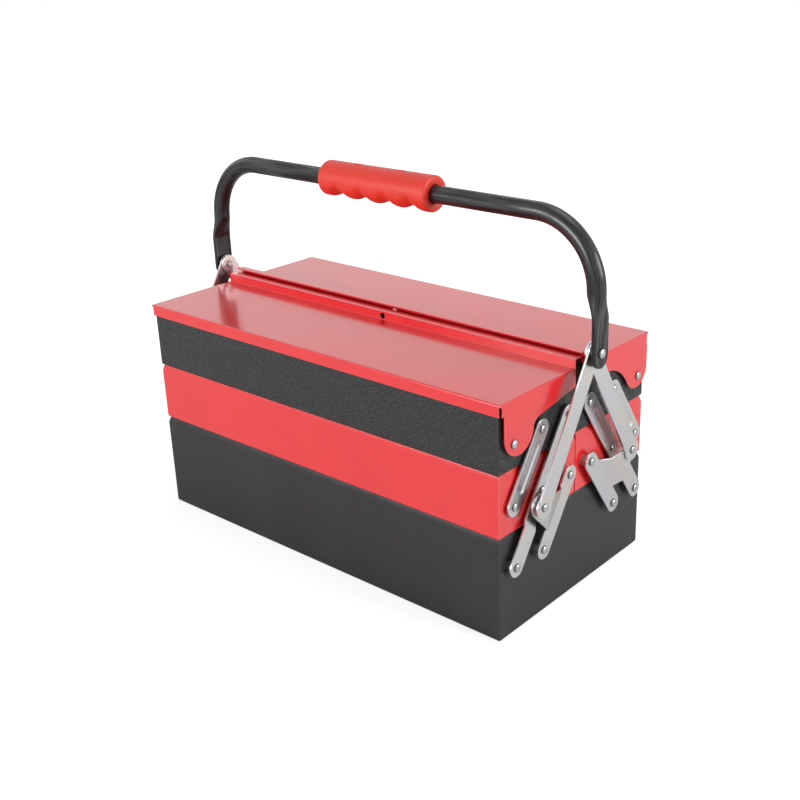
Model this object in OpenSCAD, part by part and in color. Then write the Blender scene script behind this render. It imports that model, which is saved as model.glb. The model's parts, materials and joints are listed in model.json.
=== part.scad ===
/* [Box] */
// Length of the trays over their end walls
body_len = 396; // [320:2:480]
// Depth of the closed box over both halves
body_depth = 200; // [164:2:240]
// Height of the base
base_h = 88.7; // [72:0.1:110]
// Height of the two mid trays
mid_h = 52.5; // [43:0.5:64]
// Height of the two top trays up to the lids
top_h = 56.9; // [54:0.1:70]
// Thickness of the pressed sheet
sheet_t = 1; // [0.8:0.1:1.1]
// Gap between a tray and the one that it stands on
tray_gap = 0.3; // [0.2:0.1:1]
// Gap between the front and the rear trays
centre_gap = 1; // [0.6:0.1:3]
// Outer radius of the folds along the trays' bottoms
fold_r = 2; // [1.5:0.1:4]
// Height of the hemmed band round a rim
hem_h = 5; // [3:0.5:8]
// How far the hem leans in
hem_lean = 1.5; // [0.5:0.1:2.5]

/* [Lids] */
// Height of a lid's long outer flange
lid_flange_h = 10; // [6:0.5:14]
// How far the lids stand out past the trays' long walls
lid_over_y = 1.3; // [1.3:0.1:3]
// Room between a tray's end wall and a lid's end flange
lid_room_x = 2.6; // [2.2:0.1:3.4]
// Outer radius of a lid's folds
lid_fold_r = 1.5; // [1.2:0.1:3]
// Distance of a lid's hinge from the long outer wall
hinge_inset = 14; // [12:0.5:18]
// Distance of a lid's hinge below the lid's top
hinge_drop = 35; // [30:0.5:38]
// Radius of the front lid's hinge tabs
tab_r = 17.8; // [15:0.1:19]
// Radius of the rear lid's hinge tabs
rear_tab_r = 16; // [12:0.1:17]
// Radius of the hollow beside the front hinge tab
tab_fillet_r = 9; // [6:0.5:12]
// Radius of the hollow beside the rear hinge tab
rear_fillet_r = 38; // [30:1:50]
// Depth of the end flange at its inner end
flange_in_h = 15.5; // [10:0.5:20]
// Depth of the corner notch into the end flange
slit_w = 1; // [0.6:0.1:2]
// Depth of the corner notch into the long flange
corner_cut = 2.2; // [1:0.1:4]
// Distance of the front lid's ridge from the middle
front_ridge_y = 7.5; // [6:0.5:10]
// Height of the front lid's ridge above the lid
front_ridge_h = 7.5; // [7:0.1:12]
// Distance of the rear lid's ridge's far side from the middle
rear_ridge_y = 9; // [8:0.5:14]
// How far the rear lid's ridge stands above the front one
rear_ridge_rise = 3.2; // [1:0.1:6]
// Radius of the padlock hole through both ridges
lock_r = 2.75; // [2:0.05:3.1]

/* [Linkage] */
// Width of the arms and links
link_w = 16; // [12:0.5:18]
// Thickness of the arms and links
link_t = 2; // [1.5:0.1:2.5]
// Room between a tray's end wall and the arms
arm_room = 1.6; // [1.2:0.1:2]
// How far the foot of a long arm is set out
arm_set = 2; // [1:0.1:2.4]
// Room between a tray's end wall and the cranks
crank_room = 4; // [3.6:0.1:4.4]
// How far a crank's ear is set out
ear_set = 6; // [4.6:0.1:6.4]
// Depth of the groove pressed along an arm
groove_depth = 1; // [0.4:0.1:1.2]
// Distance of the outer pivots from the long outer wall
pivot_inset = 15; // [13:0.5:18]
// Distance of the inner pivots from the middle
pivot_centre = 15; // [12:0.5:18]
// Depth of the base pivots below the base's rim
pivot_drop = 27.2; // [20:0.1:34]
// Height of the mid pivots above the mid trays' bottoms
pivot_rise = 24; // [18:0.5:28]
// Distance of the ear's pivot outwards from the crank's foot
ear_out = 14.4; // [12:0.1:16]
// Height of the ear's pivot above the crank's foot
ear_up = 46.3; // [40:0.1:48]
// Radius of the eyes of the handle links
eye_r = 9.5; // [8:0.5:11]

/* [Rivets] */
// Radius of a pivot rivet's shank
rivet_r = 2.5; // [2:0.1:3]
// Radius of a pivot rivet's domed head
head_r = 3.5; // [3.2:0.1:5]
// Height of a domed head
head_h = 1.8; // [1.2:0.1:1.9]
// Radius of the shoulder that keeps a link off the wall
shoulder_r = 5; // [4:0.5:6]
// Running clearance of a shank in its hole
run_clear = 0.05; // [0.02:0.01:0.1]
// End play between a link and what it turns against
side_clear = 0.1; // [0.05:0.05:0.2]

/* [Handle] */
// Height of the handle's pivot above the lids
handle_rise = 14; // [10:1:20]
// Height of the grip above the handle's pivot
handle_reach = 102; // [84:1:120]
// Outer radius of the handle's tube
tube_r = 7.5; // [6:0.25:9]
// Wall thickness of the handle's tube
tube_wall = 1.5; // [1:0.1:1.5]
// Radius of the handle's bends along the tube's middle
bend_r = 55; // [35:1:60]
// Room between the outer handle links and the tube's flattened ends
handle_room = 2.1; // [0.3:0.1:4]
// How far the tube lies inside the middle of its flattened ends
leg_inset = 4; // [0:0.5:5]
// Thickness of the tube's flattened ends
flat_t = 3.6; // [3.4:0.1:6]
// Width of the tube's flattened ends
flat_w = 20.5; // [16:0.5:24]
// How far the flattened ends' round lies below the pivot
flat_drop = 2; // [0:0.5:4]
// Length of the flattened ends above the pivot
flat_len = 27; // [22:1:30]
// Length over which the flat turns round
taper_len = 9; // [6:1:12]
// Radius of the handle's pivot rivets
handle_rivet_r = 3; // [2.5:0.1:4]
// Length of the grip
grip_len = 121; // [90:1:150]
// Outer radius of the grip
grip_r = 15.2; // [12:0.1:17]
// How far the grip sits from the middle
grip_shift = -2.5; // [-10:0.5:10]
// Depth of the finger hollows under the grip
finger_depth = 5.8; // [2:0.1:6.2]
// Number of finger hollows
finger_count = 4; // [3:1:4]
// Distance between neighbouring finger hollows
finger_pitch = 27; // [22:0.5:28]

/* [Hidden] */

$fn = 48;
// Sides of the halves and the ends: the parts are drawn for the rear half at the right end
front = -1;
rear = 1;
left = -1;
right = 1;

half_len = body_len / 2;
half_depth = body_depth / 2;
mid_z = base_h + tray_gap;
top_z = mid_z + mid_h + tray_gap;
lid_under = top_z + top_h + tray_gap;
lid_top = lid_under + sheet_t;

// Pivots as [distance from the middle, height]
arm_dy = (half_depth - pivot_inset - pivot_centre) / 2;
arm_dz = pivot_drop + tray_gap + pivot_rise;
outer_y = half_depth - pivot_inset;
inner_y = outer_y - arm_dy;
centre_y = inner_y - arm_dy;
base_pivot_z = base_h - pivot_drop;
mid_pivot_z = base_pivot_z + arm_dz;
top_pivot_z = mid_pivot_z + arm_dz;
arm_foot = [outer_y, base_pivot_z];
arm_mid = [inner_y, mid_pivot_z];
arm_head = [centre_y, top_pivot_z];
crank_foot = [inner_y, base_pivot_z];
crank_head = [centre_y, mid_pivot_z];
link_foot = [outer_y, mid_pivot_z];
link_head = [inner_y, top_pivot_z];
ear = crank_foot + [ear_out, ear_up];
handle_pivot = [0, lid_top + handle_rise];
hinge = [half_depth - hinge_inset, lid_top - hinge_drop];
arm_lean = atan2(arm_dy, arm_dz);

// Layers outwards from the end wall
arm_x = half_len + arm_room;
crank_x = half_len + crank_room;
ear_x = crank_x + ear_set;
layer_gap = 0.3;
groove_start = 0.9 * link_w;
clinch_h = 1.2;
clinch_r = 0.8 * shoulder_r;
rear_link_x = ear_x + link_t + layer_gap;
front_link_x = rear_link_x + link_t + side_clear * 2;
handle_x = front_link_x + link_t + handle_room + flat_t / 2;
lid_x = half_len + lid_room_x + sheet_t;
lock_z = lid_top + (front_ridge_h - sheet_t) / 2;

// The trays' outer rims stay inside the circle that the lid's underside turns on
rim_reach = lid_under - hinge[1] - 2 * layer_gap;
rim_z = hinge[1] + sqrt(rim_reach * rim_reach - hinge_inset * hinge_inset);
upstand_top = lid_top + front_ridge_h - sheet_t - tray_gap;

steel = [0.80, 0.79, 0.76];
red = [0.84, 0.05, 0.06];
black = [0.11, 0.11, 0.12];
plastic = [0.90, 0.12, 0.08];

// Copies for a half and an end
module on_side(side) {
    mirror([0, side < 0 ? 1 : 0, 0]) children();
}

module at_end(end) {
    mirror([end < 0 ? 1 : 0, 0, 0]) children();
}

module at_both_ends() {
    for (end = [left, right])
        at_end(end) children();
}

// Puts a flat outline drawn as [distance from the middle, height] at x and gives it a thickness
module plate(x, thickness) {
    translate([x, 0, 0])
        rotate([90, 0, 90])
            linear_extrude(thickness) children();
}

// Pins and holes along x at a pivot
module along_x(pivot, x, length, r) {
    translate([x, pivot[0], pivot[1]])
        rotate([0, 90, 0])
            cylinder(h = length, r = r);
}

// ---------- Trays ----------

// Section across a tray with round lower corners
module tray_section(low, high, floor_z, top, r) {
    translate([low, floor_z + r])
        square([high - low, top - floor_z - r]);
    translate([low + r, floor_z])
        square([high - low - 2 * r, 2 * r]);
    for (corner = [low + r, high - r])
        translate([corner, floor_z + r])
            circle(r = r);
}

// Section across a rim that leans in
module rim_section(low, high, floor_z, top) {
    polygon([[low, floor_z], [low + hem_lean, top], [high - hem_lean, top], [high, floor_z]]);
}

// The body that two crossed sections have in common
module crossed(low, high) {
    intersection() {
        translate([-half_len, 0, 0])
            rotate([90, 0, 90])
                linear_extrude(body_len) children(0);
        translate([0, high, 0])
            rotate([90, 0, 0])
                linear_extrude(high - low) children(1);
    }
}

// A folded tray, one sheet thick, with a leaning rim that is two sheets thick
module open_tray(low, high, floor_z, top) {
    step = top - hem_h;
    hem_t = 2 * sheet_t;
    inner_len = half_len - sheet_t;
    inner_r = fold_r - sheet_t;
    difference() {
        crossed(low, high) {
            tray_section(low, high, floor_z, step, fold_r);
            tray_section(-half_len, half_len, floor_z, step, fold_r);
        }
        crossed(low, high) {
            tray_section(low + sheet_t, high - sheet_t, floor_z + sheet_t, step + 1, inner_r);
            tray_section(-inner_len, inner_len, floor_z + sheet_t, step + 1, inner_r);
        }
    }
    difference() {
        crossed(low, high) {
            rim_section(low, high, step, top);
            rim_section(-half_len, half_len, step, top);
        }
        crossed(low, high) {
            rim_section(low + hem_t, high - hem_t, step, top);
            rim_section(-half_len + hem_t, half_len - hem_t, step, top);
        }
    }
}

// Holes for the rivets through both end walls
module wall_holes(pivots) {
    for (pivot = pivots)
        along_x(pivot, -half_len - 1, body_len + 2, rivet_r + run_clear);
}

module lock_hole() {
    translate([0, -half_depth / 4, lock_z])
        rotate([-90, 0, 0])
            cylinder(h = half_depth / 2, r = lock_r);
}

module base_box() {
    color(black)
        difference() {
            open_tray(-half_depth, half_depth, 0, base_h);
            for (side = [front, rear])
                on_side(side) wall_holes([arm_foot, crank_foot]);
        }
}

module mid_tray(side) {
    color(red)
        on_side(side)
            difference() {
                open_tray(centre_gap / 2, half_depth, mid_z, mid_z + mid_h);
                wall_holes([link_foot, arm_mid, crank_head]);
            }
}

// The upstand that closes the slot under the ridges: inner wall and two end tongues
module upstand(reach) {
    inner = centre_gap / 2 + hem_lean;
    low = rim_z - hem_h;
    translate([-half_len + hem_lean, inner, low])
        cube([body_len - 2 * hem_lean, sheet_t, upstand_top - low]);
    at_both_ends()
        translate([half_len - hem_lean - sheet_t, inner, low])
            cube([sheet_t, reach - inner, upstand_top - low]);
}

module top_tray(side) {
    reach = side == front ? front_ridge_y - sheet_t : rear_ridge_y - sheet_t;
    color(black)
        on_side(side)
            difference() {
                union() {
                    open_tray(centre_gap / 2, half_depth, top_z, rim_z);
                    upstand(reach - 2 * layer_gap);
                }
                wall_holes([link_head, arm_head, hinge]);
                lock_hole();
            }
}

// ---------- Lids ----------

// Room between a hinge tab and the long flange
tab_room = 0.3;
// How far the rear hollow's top lies below the flange's inner end
hollow_step = 1.7;

// Outline of a lid's end flange, with its hinge tab and the hollow beside that
module flange_outline(side, inner) {
    r = side == front ? tab_r : rear_tab_r;
    hollow_r = side == front ? tab_fillet_r : rear_fillet_r;
    tab_set = side == front ? [-7, 6.5] : [-2, 5.8];
    // The tab ends short of the long flange, and the hollow stays below the flange's inner end
    tab_limit = half_depth + lid_over_y - sheet_t - tab_room - r;
    tab_centre = [min(hinge[0] + tab_set[0], tab_limit), hinge[1] + tab_set[1]];
    hollow_top = lid_top - flange_in_h - hollow_step;
    hollow_drop = side == front ? 3.5 : tab_centre[1] - hollow_top + hollow_r;
    hollow_dy = sqrt(pow(r + hollow_r, 2) - hollow_drop * hollow_drop);
    hollow_centre = tab_centre - [hollow_dy, hollow_drop];
    start = [inner, lid_top - flange_in_h];
    away = hollow_centre - start;
    turn = atan2(away[1], away[0]) + asin(hollow_r / norm(away));
    touch = hollow_centre + hollow_r * [-sin(turn), cos(turn)];
    difference() {
        union() {
            polygon([[inner, lid_top], start, touch, hollow_centre, tab_centre,
                [tab_centre[0], lid_top]]);
            translate(tab_centre)
                circle(r = r);
            translate(tab_centre)
                square([r, lid_top - tab_centre[1]]);
            translate([tab_centre[0], lid_top - lid_flange_h])
                square([half_depth + lid_over_y - tab_centre[0], lid_flange_h]);
        }
        translate(hollow_centre)
            circle(r = hollow_r);
    }
}

// Section of a lid's pan: upright at its far end or ends, with folded upper corners
module pan_section(low, high, top, r, both) {
    floor_z = hinge[1] - tab_r;
    translate([low, floor_z])
        square([high - low, top - r - floor_z]);
    translate([both ? low + r : low, floor_z])
        square([high - r - (both ? low + r : low), top - floor_z]);
    translate([high - r, top - r])
        circle(r = r);
    if (both)
        translate([low + r, top - r])
            circle(r = r);
}

module pan(inner, outer, x, top, r) {
    intersection() {
        translate([-x, 0, 0])
            rotate([90, 0, 90])
                linear_extrude(2 * x) pan_section(inner, outer, top, r, false);
        translate([0, outer, 0])
            rotate([90, 0, 0])
                linear_extrude(outer - inner) pan_section(-x, x, top, r, true);
    }
}

module lid_pan(side, inner) {
    outer = half_depth + lid_over_y;
    difference() {
        intersection() {
            difference() {
                pan(inner, outer, lid_x, lid_top, lid_fold_r);
                pan(inner - 1, outer - sheet_t, lid_x - sheet_t, lid_under, lid_fold_r - sheet_t);
            }
            plate(-lid_x - 1, 2 * lid_x + 2) flange_outline(side, inner);
        }
        at_both_ends()
            translate([lid_x - corner_cut, outer - sheet_t - slit_w, lid_under - lid_flange_h])
                cube([corner_cut + 1, slit_w + sheet_t + 1, lid_flange_h - lid_fold_r / 2]);
        at_both_ends()
            along_x(hinge, lid_x - sheet_t - 1, sheet_t + 2, rivet_r + run_clear);
    }
}

// A strip of the ridge along the whole lid
module ridge_strip(low, high, floor_z, top) {
    translate([-lid_x, low, floor_z])
        cube([2 * lid_x, high - low, top - floor_z]);
}

// The front lid's ridge stands up and turns back over both trays' inner walls
module front_lid() {
    top = lid_top + front_ridge_h;
    inner = front_ridge_y - sheet_t;
    color(red)
        on_side(front)
            difference() {
                union() {
                    lid_pan(front, inner);
                    ridge_strip(inner, front_ridge_y, lid_under, top);
                    ridge_strip(-centre_gap / 2 - 2 * layer_gap, front_ridge_y, top - sheet_t, top);
                }
                lock_hole();
            }
}

// The rear lid's ridge is higher, and its lip hangs beside the front one
module rear_lid() {
    rise = front_ridge_h + rear_ridge_rise;
    top = lid_top + rise;
    inner = rear_ridge_y - sheet_t;
    lip = centre_gap / 2 + hem_lean;
    lip_h = 1.3 * sheet_t;
    color(red)
        on_side(rear)
            difference() {
                union() {
                    lid_pan(rear, inner);
                    ridge_strip(inner, rear_ridge_y, lid_under, top);
                    ridge_strip(lip, rear_ridge_y, top - sheet_t, top);
                    ridge_strip(lip, lip + sheet_t, top - lip_h, top);
                }
                lock_hole();
            }
}

// ---------- Arms and links ----------

// A strip with round ends between two pivots
module strip(from, to, width) {
    span = norm(to - from);
    translate(from)
        rotate(atan2(to[1] - from[1], to[0] - from[0])) {
            translate([0, -width / 2])
                square([span, width]);
            for (along = [0, span])
                translate([along, 0])
                    circle(r = width / 2);
        }
}

// The round-bottomed groove pressed into a strip's outer face between two points
module groove(from, to, face_x) {
    groove_r = 0.72 * link_w;
    span = norm(to - from);
    translate([face_x + groove_r - groove_depth, from[0], from[1]])
        rotate([atan2(to[1] - from[1], to[0] - from[0]) - 90, 0, 0]) {
            cylinder(h = span, r = groove_r);
            for (along = [0, span])
                translate([0, 0, along])
                    sphere(r = groove_r);
        }
}

// The section of a plate that steps sideways: as [distance along the step, x]
module step_section(first, last, step_at, run, x, rise) {
    polygon([[first, x], [step_at, x], [step_at + run, x + rise], [last, x + rise],
        [last, x + rise + link_t], [step_at + run, x + rise + link_t],
        [step_at, x + link_t], [first, x + link_t]]);
}

// Lays such a section at a point, stepping along an angle, and makes it as wide as reach
module stepped(origin, angle, reach) {
    translate([0, origin[0], origin[1]])
        rotate([angle, 0, 0])
            rotate([180, 0, 90])
                translate([0, 0, -reach])
                    linear_extrude(2 * reach) children();
}

function along(from, to, distance) = from + (to - from) * distance / norm(to - from);

module link_holes(pivots, x, length) {
    for (pivot = pivots)
        along_x(pivot, x - 1, length + 2, rivet_r + run_clear);
}

// The long arm carries both trays, and its foot is set out from the wall
module long_arm(side, end) {
    whole = norm(arm_head - arm_foot);
    step_run = 5;
    step_at = norm(arm_mid - arm_foot) / 2;
    color(steel)
        on_side(side) at_end(end)
            difference() {
                intersection() {
                    plate(arm_x - 1, arm_set + link_t + 2)
                        strip(arm_foot, arm_head, link_w);
                    stepped(arm_foot, 90 + arm_lean, whole)
                        step_section(-link_w, whole + link_w, step_at, step_run,
                            arm_x + arm_set, -arm_set);
                }
                groove(along(arm_mid, arm_head, groove_start),
                    along(arm_head, arm_mid, groove_start), arm_x + link_t);
                link_holes([arm_foot, arm_mid, arm_head], arm_x, arm_set + link_t);
            }
}

// Outline of a crank: its arm, and the web out to its ear
module crank_outline() {
    corner = crank_foot + [-1, 15.5];
    ear_shoulder = ear + [-eye_r - 0.9, 2.4];
    arm_shoulder = crank_head + [11, -3.5];
    reach = ear - corner;
    turn = atan2(reach[1], reach[0]) - asin(eye_r / norm(reach));
    touch = ear + eye_r * [sin(turn), -cos(turn)];
    strip(crank_foot, crank_head, link_w);
    polygon([corner, touch, ear, ear_shoulder, arm_shoulder, crank_head, crank_foot]);
    translate(ear)
        circle(r = eye_r);
}

// The crank steps out over the long arm, so that its ear can swing past it
module crank(side, end) {
    step_at = link_w / 2 + 1;
    step_run = 6;
    reach = norm(crank_head - crank_foot) + ear_up;
    color(steel)
        on_side(side) at_end(end)
            difference() {
                intersection() {
                    plate(crank_x - 1, ear_set + link_t + 2)
                        crank_outline();
                    stepped(crank_foot, arm_lean, reach)
                        step_section(-link_w, reach, step_at, step_run, crank_x, ear_set);
                }
                link_holes([crank_foot, crank_head, ear], crank_x, ear_set + link_t);
            }
}

module short_link(side, end) {
    color(steel)
        on_side(side) at_end(end)
            difference() {
                plate(arm_x, link_t)
                    strip(link_foot, link_head, link_w);
                groove(along(link_foot, link_head, groove_start),
                    along(link_head, link_foot, groove_start), arm_x + link_t);
                link_holes([link_foot, link_head], arm_x, link_t);
            }
}

// Two of these at each end hang the handle from the cranks' ears
module handle_link(side, end) {
    x = side == front ? front_link_x : rear_link_x;
    color(steel)
        on_side(side) at_end(end)
            difference() {
                plate(x, link_t) {
                    strip(ear, handle_pivot, link_w);
                    translate(ear)
                        circle(r = eye_r);
                    translate(handle_pivot)
                        circle(r = link_w / 2 + 0.5);
                }
                along_x(ear, x - 1, link_t + 2, rivet_r + run_clear);
                along_x(handle_pivot, x - 1, link_t + 2, handle_rivet_r + run_clear);
            }
}

// ---------- Rivets ----------

// A domed head on the face at x, of a given rim radius
module dome(pivot, x, rim_r, height) {
    ball_r = (rim_r * rim_r + height * height) / (2 * height);
    translate([x, pivot[0], pivot[1]])
        rotate([0, 90, 0])
            intersection() {
                translate([0, 0, height - ball_r])
                    sphere(r = ball_r);
                cylinder(h = height + 1, r = rim_r + 1);
            }
}

// A stepped rivet: clinched inside the wall, shoulder, shank, and head outside the link
module wall_rivet(pivot, link_x, thickness) {
    face = link_x + thickness + side_clear;
    along_x(pivot, half_len - sheet_t - clinch_h, clinch_h, clinch_r);
    along_x(pivot, half_len - sheet_t - clinch_h, face - half_len + sheet_t + clinch_h, rivet_r);
    along_x(pivot, half_len, link_x - side_clear - half_len, shoulder_r);
    dome(pivot, face, head_r, head_h);
}

module base_rivets() {
    color(steel)
        for (side = [front, rear])
            on_side(side) at_both_ends() {
                wall_rivet(arm_foot, arm_x + arm_set, link_t);
                wall_rivet(crank_foot, crank_x, link_t);
            }
}

module mid_rivets(side) {
    color(steel)
        on_side(side) at_both_ends() {
            wall_rivet(link_foot, arm_x, link_t);
            wall_rivet(arm_mid, arm_x, link_t);
            wall_rivet(crank_head, crank_x, link_t);
        }
}

module top_rivets(side) {
    color(steel)
        on_side(side) at_both_ends() {
            wall_rivet(link_head, arm_x, link_t);
            wall_rivet(arm_head, arm_x, link_t);
        }
}

module hinge_rivets(side) {
    color(steel)
        on_side(side) at_both_ends()
            wall_rivet(hinge, lid_x - sheet_t, sheet_t);
}

// The closed end of the ear's rivet, behind the crank
module ear_studs(side) {
    color(steel)
        on_side(side) at_both_ends() {
            along_x(ear, ear_x - clinch_h, clinch_h, clinch_r);
            along_x(ear, ear_x - clinch_h, clinch_h + link_t, rivet_r);
        }
}

// The domed end of the ear's rivet, on the handle link
module link_rivets(side) {
    x = side == front ? front_link_x : rear_link_x;
    color(steel)
        on_side(side) at_both_ends() {
            along_x(ear, ear_x + link_t + layer_gap, x - ear_x - layer_gap, rivet_r);
            dome(ear, x + link_t, head_r, head_h);
        }
}

// Washers that carry the outer handle links over the inner ones
module front_link_spacers() {
    low = rear_link_x;
    color(steel)
        on_side(front) at_both_ends()
            difference() {
                along_x(ear, low, front_link_x - low, shoulder_r + 1);
                along_x(ear, low - 1, front_link_x - low + 2, rivet_r + run_clear);
            }
}

module handle_rivets() {
    inner = rear_link_x - side_clear;
    outer = handle_x + flat_t / 2 + side_clear;
    color(steel)
        at_both_ends() {
            along_x(handle_pivot, inner - head_h, head_h, head_r);
            along_x(handle_pivot, inner - head_h, outer - inner + head_h, handle_rivet_r);
            along_x(handle_pivot, front_link_x + link_t + side_clear,
                handle_room - 2 * side_clear, shoulder_r);
            dome(handle_pivot, outer, head_r + 0.5, head_h + 0.4);
        }
}

// ---------- Handle ----------

flat_top = handle_pivot[1] + flat_len;
tube_bottom = flat_top + taper_len;
bar_z = handle_pivot[1] + handle_reach;
leg_x = handle_x - leg_inset;
bend_x = leg_x - bend_r;

// The bent tube, as a solid of radius r whose flattened ends are thick and wide
module bent_bar(r, thick, wide, end_z) {
    shoulder = 0.3;
    at_both_ends() {
        translate([handle_x - thick / 2, -wide / 2, end_z])
            cube([thick, wide, flat_top - end_z]);
        hull() {
            translate([handle_x - thick / 2, -wide / 2, flat_top - 0.01])
                cube([thick, wide, 0.01]);
            translate([leg_x, 0, tube_bottom])
                cylinder(h = 0.01, r = r - shoulder, $fn = 32);
        }
        translate([leg_x, 0, tube_bottom])
            cylinder(h = bar_z - bend_r - tube_bottom, r = r);
        translate([bend_x, 0, bar_z - bend_r])
            rotate([90, 0, 0])
                rotate_extrude(angle = 90)
                    translate([bend_r, 0])
                        circle(r = r);
        translate([0, 0, bar_z])
            rotate([0, 90, 0])
                cylinder(h = bend_x, r = r);
    }
}

module handle_tube() {
    slot_t = flat_t - 2 * tube_wall;
    color(black)
        difference() {
            union() {
                bent_bar(tube_r, flat_t, flat_w, handle_pivot[1] - flat_drop);
                at_both_ends()
                    along_x(handle_pivot - [0, flat_drop], handle_x - flat_t / 2, flat_t, flat_w / 2);
            }
            bent_bar(tube_r - tube_wall, slot_t, flat_w - 2 * tube_wall,
                handle_pivot[1] - flat_w);
            at_both_ends()
                along_x(handle_pivot, handle_x - flat_t, 2 * flat_t, handle_rivet_r + run_clear);
        }
}

// Section of the sleeve, round at both ends: as [radius, distance along]
module grip_section() {
    end_r = 5;
    square([grip_r - end_r, grip_len]);
    translate([0, end_r])
        square([grip_r, grip_len - 2 * end_r]);
    for (distance = [end_r, grip_len - end_r])
        translate([grip_r - end_r, distance])
            circle(r = end_r);
}

// The finger hollows run round the underside and fade out at half the grip's height
module handle_grip() {
    hollow_r = 8;
    first = -finger_pitch * (finger_count - 1) / 2;
    color(plastic)
        translate([grip_shift, 0, bar_z])
            difference() {
                translate([-grip_len / 2, 0, 0])
                    rotate([90, 0, 90])
                        rotate_extrude() grip_section();
                for (finger = [0 : finger_count - 1])
                    translate([first + finger * finger_pitch, 0, finger_depth])
                        rotate([90, 0, 90])
                            rotate_extrude()
                                translate([grip_r + hollow_r, 0])
                                    circle(r = hollow_r);
                rotate([0, 90, 0])
                    cylinder(h = grip_len + 2, r = tube_r + run_clear, center = true);
            }
}

base_box();
mid_tray(front);  // front_mid_tray
mid_tray(rear);  // rear_mid_tray
top_tray(front);  // front_top_tray
top_tray(rear);  // rear_top_tray
front_lid();
rear_lid();
long_arm(front, left);  // front_long_arm_left
long_arm(front, right);  // front_long_arm_right
long_arm(rear, left);  // rear_long_arm_left
long_arm(rear, right);  // rear_long_arm_right
crank(front, left);  // front_crank_left
crank(front, right);  // front_crank_right
crank(rear, left);  // rear_crank_left
crank(rear, right);  // rear_crank_right
short_link(front, left);  // front_short_link_left
short_link(front, right);  // front_short_link_right
short_link(rear, left);  // rear_short_link_left
short_link(rear, right);  // rear_short_link_right
handle_link(front, left);  // front_handle_link_left
handle_link(front, right);  // front_handle_link_right
handle_link(rear, left);  // rear_handle_link_left
handle_link(rear, right);  // rear_handle_link_right
base_rivets();
mid_rivets(front);  // front_mid_rivets
mid_rivets(rear);  // rear_mid_rivets
top_rivets(front);  // front_top_rivets
top_rivets(rear);  // rear_top_rivets
hinge_rivets(front);  // front_hinge_rivets
hinge_rivets(rear);  // rear_hinge_rivets
ear_studs(front);  // front_ear_studs
ear_studs(rear);  // rear_ear_studs
link_rivets(front);  // front_link_rivets
link_rivets(rear);  // rear_link_rivets
front_link_spacers();
handle_rivets();
handle_tube();
handle_grip();
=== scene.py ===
import json
import math
from collections import namedtuple

import bmesh
import bpy
from mathutils import Matrix, Vector


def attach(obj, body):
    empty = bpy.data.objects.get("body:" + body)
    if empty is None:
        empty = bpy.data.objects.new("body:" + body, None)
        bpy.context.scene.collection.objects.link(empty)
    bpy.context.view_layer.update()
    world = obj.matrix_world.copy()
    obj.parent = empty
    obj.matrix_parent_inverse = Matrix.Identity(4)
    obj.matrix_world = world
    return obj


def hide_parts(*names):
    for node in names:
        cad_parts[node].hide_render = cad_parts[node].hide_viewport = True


bl_info = {
    "name": "Cantilever tool box",
    "version": (1, 0, 0),
    "blender": (4, 5, 0),
    "location": "3D View > Sidebar > Tool box",
    "description": "Finishes a folding steel tool box with five trays and sets it in a studio",
    "category": "Object",
}

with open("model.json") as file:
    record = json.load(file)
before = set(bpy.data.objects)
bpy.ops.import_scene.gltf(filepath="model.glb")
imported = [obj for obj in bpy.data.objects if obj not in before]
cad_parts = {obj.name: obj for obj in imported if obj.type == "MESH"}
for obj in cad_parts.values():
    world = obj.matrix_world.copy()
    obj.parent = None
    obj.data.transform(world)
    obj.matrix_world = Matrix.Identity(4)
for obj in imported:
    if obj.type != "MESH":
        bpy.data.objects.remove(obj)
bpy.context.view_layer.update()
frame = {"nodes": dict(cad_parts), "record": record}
NODES = frame["nodes"]
BODY_OF = {
    node: body
    for body, nodes in frame["record"]["behaviour"]["bodies"].items()
    for node in nodes
}

MM = 0.001
HALVES = {"front": -1, "rear": 1}
ENDS = {"left": -1, "right": 1}

# Where the rivets sit, in mm: distance from the middle, height
ARM_FOOT, ARM_MID, ARM_HEAD = (85, 61.5), (50, 113), (15, 164.5)
CRANK_FOOT, CRANK_HEAD = (50, 61.5), (15, 113)
LINK_FOOT, LINK_HEAD = (85, 113), (50, 164.5)
EAR, HINGE, HANDLE_PIVOT = (64.4, 107.8), (86, 165), (0, 214)

# How far out things lie, in mm: the end wall's outer face, then the inner faces of what it carries
WALL_X, ARM_X, LID_X, CRANK_X = 198, 199.6, 200.6, 202
EAR_X, REAR_LINK_X, FRONT_LINK_X = 208, 210.3, 212.5
# Where the collar under the handle ends and where the handle rivet's head sits, in mm
COLLAR_X, HANDLE_HEAD_X = 216.5, 220.3

# Thickness of the walls and lids, of the arms and links, and the play beside them, in mm
SHEET, STRIP, PLAY = 1, 2, 0.1
# Height of a clinched end in a tray and under the handle, in mm
CLINCH, HANDLE_CLINCH = 1.2, 1.8

# CAD corners closer than this are one, and faces that turn less than FLAT are one face
MERGE, FLAT = 2e-6, math.radians(0.6)
# Edges that turn more than this are folds or rims
FOLD = math.radians(50)
# A hair of room at the tube's foot and in the grip's bore; a shorter shoulder is left out
HAIR = 0.00005


# ---------- What a user would change ----------


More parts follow.
